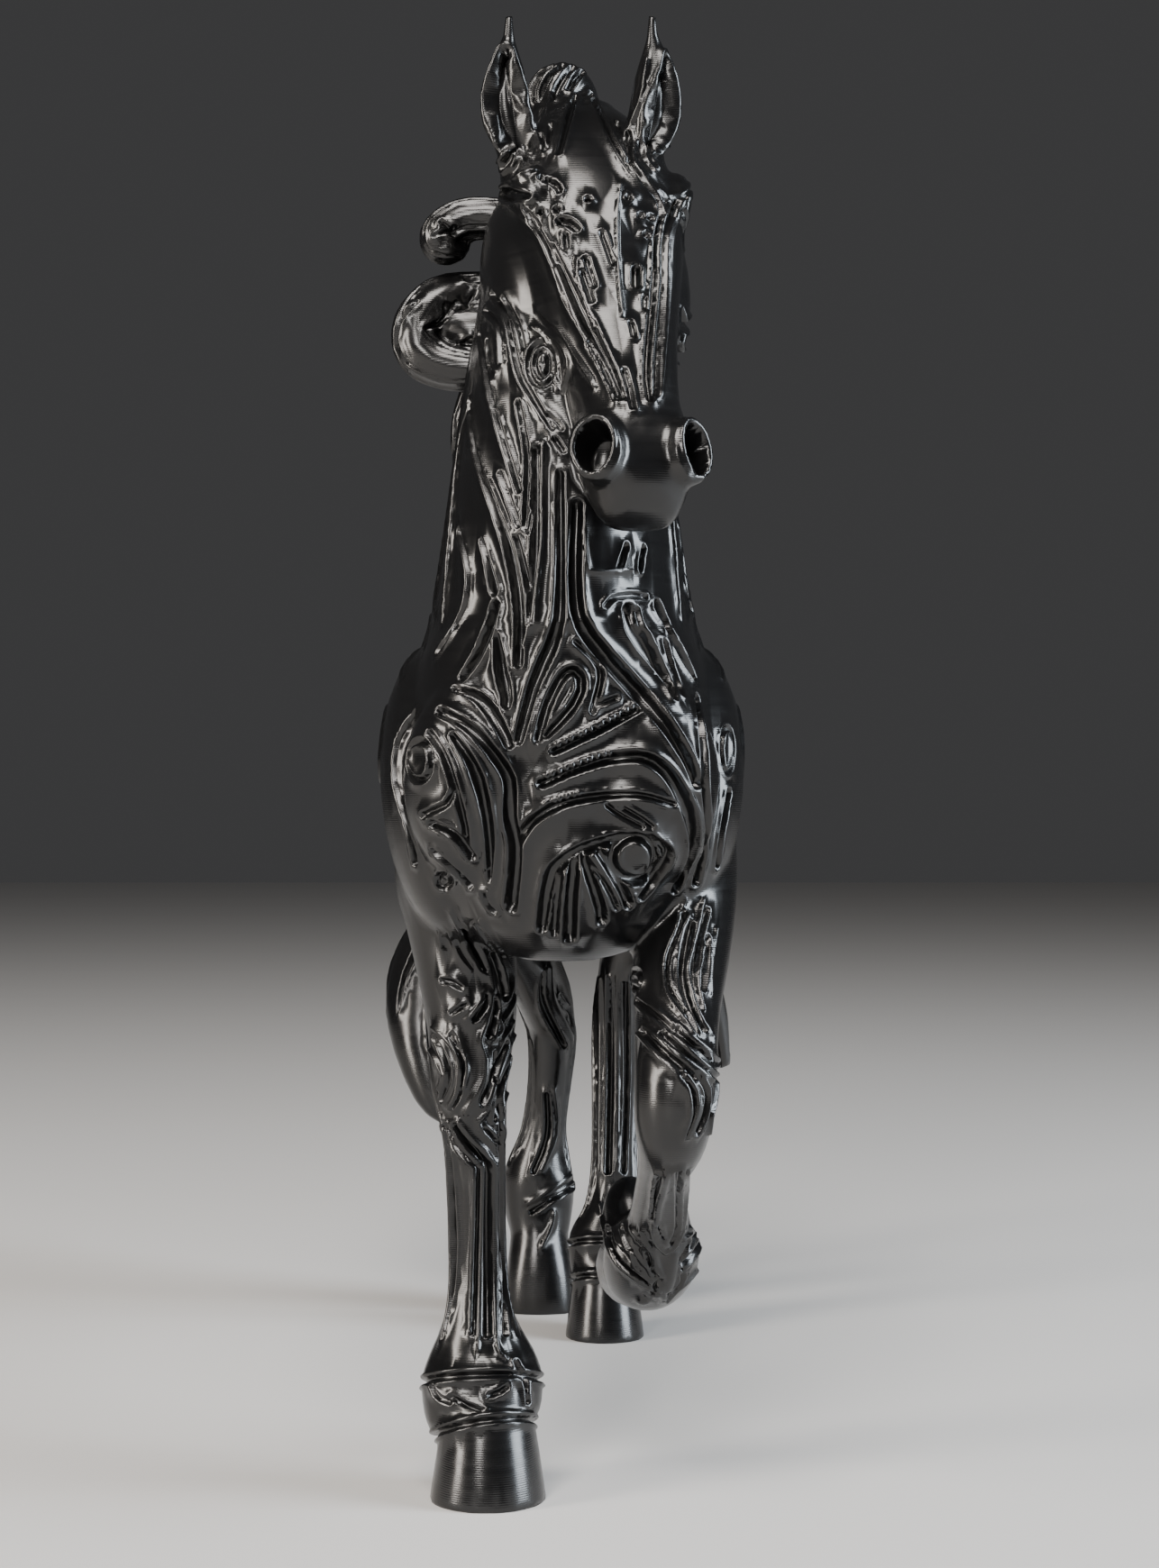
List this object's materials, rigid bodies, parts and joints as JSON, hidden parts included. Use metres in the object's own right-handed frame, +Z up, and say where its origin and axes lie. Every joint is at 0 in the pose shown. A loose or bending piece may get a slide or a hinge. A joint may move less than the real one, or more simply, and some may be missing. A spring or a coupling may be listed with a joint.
{
  "type": "horse sculpture",
  "caption": "Black printed statuette of a trotting horse, covered in flowing carved bands, whorls and grooves, with upright ears and a blown mane.",
  "frame": {"origin": "middle of the figure's bounding box, at the height of the soles", "axes": "+Z up, the horse faces -Y, the horse's left side is +X"},
  "size_m": [0.0415, 0.1267, 0.1401],
  "materials": {
    "print_black": "glossy black filament print with fine level layer lines"
  },
  "bodies": {
    "root": {"horse": "print_black"}
  },
  "joints": []
}
